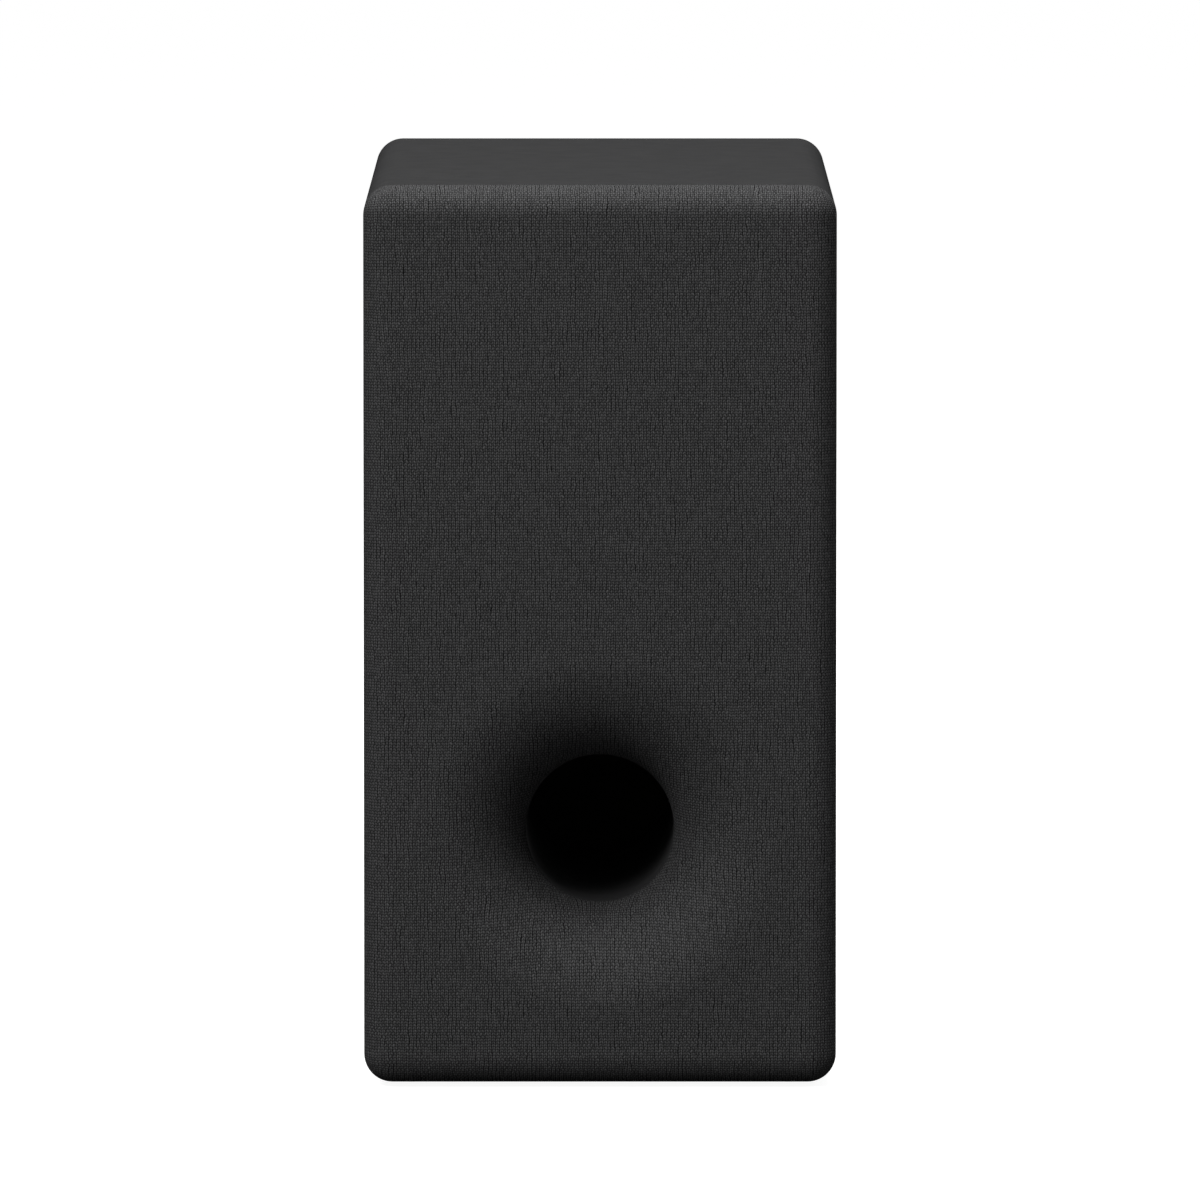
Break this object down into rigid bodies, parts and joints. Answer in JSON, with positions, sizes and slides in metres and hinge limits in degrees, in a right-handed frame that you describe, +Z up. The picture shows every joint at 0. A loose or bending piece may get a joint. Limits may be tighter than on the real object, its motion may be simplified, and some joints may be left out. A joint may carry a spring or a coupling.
{
  "type": "subwoofer",
  "caption": "Slim upright bass-reflex subwoofer with a cloth front that flows into a flared port, a wrapped box and a rear amplifier module.",
  "frame": {"origin": "centre of the footprint on the plane that the feet stand on", "axes": "+Z up, the front faces -Y, +X is to the right of someone facing the front"},
  "size_m": [0.2, 0.402, 0.382],
  "materials": {
    "wrap_vinyl": "matte dark grey vinyl with a fine leather-like grain",
    "mdf": "bare fibreboard, smooth and slightly fuzzy at cut edges",
    "painted_board": "fibreboard under matte black paint",
    "grille_plastic": "moulded black plastic, fine texture",
    "knit_cloth": "black stretch knit with fine upright wales",
    "guard_steel": "black powder coat on perforated steel",
    "black_rubber": "soft black rubber",
    "duct_plastic": "black moulded duct, satin",
    "black_foam": "closed-cell foam gasket",
    "black_screw": "black zinc steel screws",
    "basket_steel": "black enamelled pressed steel",
    "plated_steel": "zinc plated turned steel",
    "ferrite": "ground ferrite, dark grey",
    "tag_board": "brown phenolic board with brass tags",
    "spider_cloth": "resin-stiffened amber cloth",
    "surround_rubber": "satin black rubber roll",
    "tinsel_braid": "braided tinsel wire",
    "cone_paper": "pressed black paper cone",
    "cap_paper": "black pressed dust cap",
    "former_film": "amber heat-proof film",
    "copper_wire": "enamelled copper winding",
    "panel_metal": "black textured powder coat",
    "housing_plastic": "dark grey moulded tub",
    "circuit_board": "green solder mask",
    "sink_aluminium": "extruded fins, natural",
    "transformer_tape": "yellow tape over a ferrite core",
    "capacitor_sleeve": "shrink sleeve over an aluminium can",
    "toroid_copper": "enamelled copper on a ring core",
    "zinc_screw": "bright zinc machine screws",
    "shield_can": "tinned steel can on a small board",
    "switch_plastic": "black switch body",
    "led_lens": "white emitter package",
    "clear_pipe": "clear light pipe",
    "inlet_plastic": "hard black inlet moulding",
    "nickel_pin": "nickel-plated pins",
    "red_pvc": "red flexible sleeve",
    "black_pvc": "black flexible sleeve",
    "button_plastic": "satin dark grey button",
    "plunger_plastic": "natural switch plunger",
    "foot_rubber": "matte black rubber pad",
    "fibre_wadding": "white polyester fibre"
  },
  "bodies": {
    "cabinet": {"vinyl_wrap": "wrap_vinyl", "top_panel": "mdf", "bottom_panel": "mdf", "left_panel": "mdf", "right_panel": "mdf", "front_baffle": "mdf", "back_board": "painted_board", "window_brace": "mdf", "grille_frame": "grille_plastic", "grille_fabric": "knit_cloth", "driver_guard": "guard_steel", "grille_sockets": "black_rubber", "port_duct": "duct_plastic", "port_seal": "black_foam", "port_screws": "black_screw", "driver_gasket": "black_foam", "driver_basket": "basket_steel", "driver_trim_ring": "black_rubber", "driver_screws": "black_screw", "top_plate": "plated_steel", "magnet": "ferrite", "yoke": "plated_steel", "terminal_strip": "tag_board", "spider": "spider_cloth", "surround": "surround_rubber", "tinsel_leads": "tinsel_braid", "amp_panel": "panel_metal", "amp_gasket": "black_foam", "amp_screws": "black_screw", "amp_housing": "housing_plastic", "main_board": "circuit_board", "heatsink": "sink_aluminium", "power_transformer": "transformer_tape", "bulk_capacitors": "capacitor_sleeve", "output_inductors": "toroid_copper", "board_screws": "zinc_screw", "wireless_module": "shield_can", "control_board": "circuit_board", "tact_switches": "switch_plastic", "status_led": "led_lens", "light_pipe": "clear_pipe", "ac_inlet": "inlet_plastic", "ac_inlet_pins": "nickel_pin", "speaker_lead_red": "red_pvc", "speaker_lead_black": "black_pvc", "cable_grommet": "black_rubber", "foot_front_left": "foot_rubber", "foot_front_right": "foot_rubber", "foot_rear_left": "foot_rubber", "foot_rear_right": "foot_rubber", "wadding_left": "fibre_wadding", "wadding_right": "fibre_wadding"},
    "cone_assembly": {"cone": "cone_paper", "dust_cap": "cap_paper", "voice_coil_former": "former_film", "voice_coil": "copper_wire"},
    "power_button": {"power_button": "button_plastic"},
    "link_button": {"link_button": "button_plastic"},
    "power_plunger": {"power_switch_plunger": "plunger_plastic"},
    "link_plunger": {"link_switch_plunger": "plunger_plastic"}
  },
  "joints": [
    {"name": "cone_excursion", "type": "slide", "parent": "cabinet", "child": "cone_assembly", "axis": [0, -1, 0], "range_m": [-0.007, 0.007], "stiffness_N_per_m": 1500, "deforming": ["surround", "spider", "tinsel_leads"]},
    {"name": "power_button_press", "type": "slide", "parent": "cabinet", "child": "power_button", "axis": [0, -1, 0], "range_m": [0, 0.0005], "stiffness_N_per_m": 1500, "springref_m": -0.0005},
    {"name": "link_button_press", "type": "slide", "parent": "cabinet", "child": "link_button", "axis": [0, -1, 0], "range_m": [0, 0.0005], "stiffness_N_per_m": 1500, "springref_m": -0.0005},
    {"name": "power_plunger_press", "type": "slide", "parent": "cabinet", "child": "power_plunger", "axis": [0, -1, 0], "range_m": [0, 0.0005]},
    {"name": "link_plunger_press", "type": "slide", "parent": "cabinet", "child": "link_plunger", "axis": [0, -1, 0], "range_m": [0, 0.0005]}
  ],
  "couplings": [
    {"joint": "power_plunger_press", "follows": "power_button_press", "ratio": 1},
    {"joint": "link_plunger_press", "follows": "link_button_press", "ratio": 1}
  ]
}
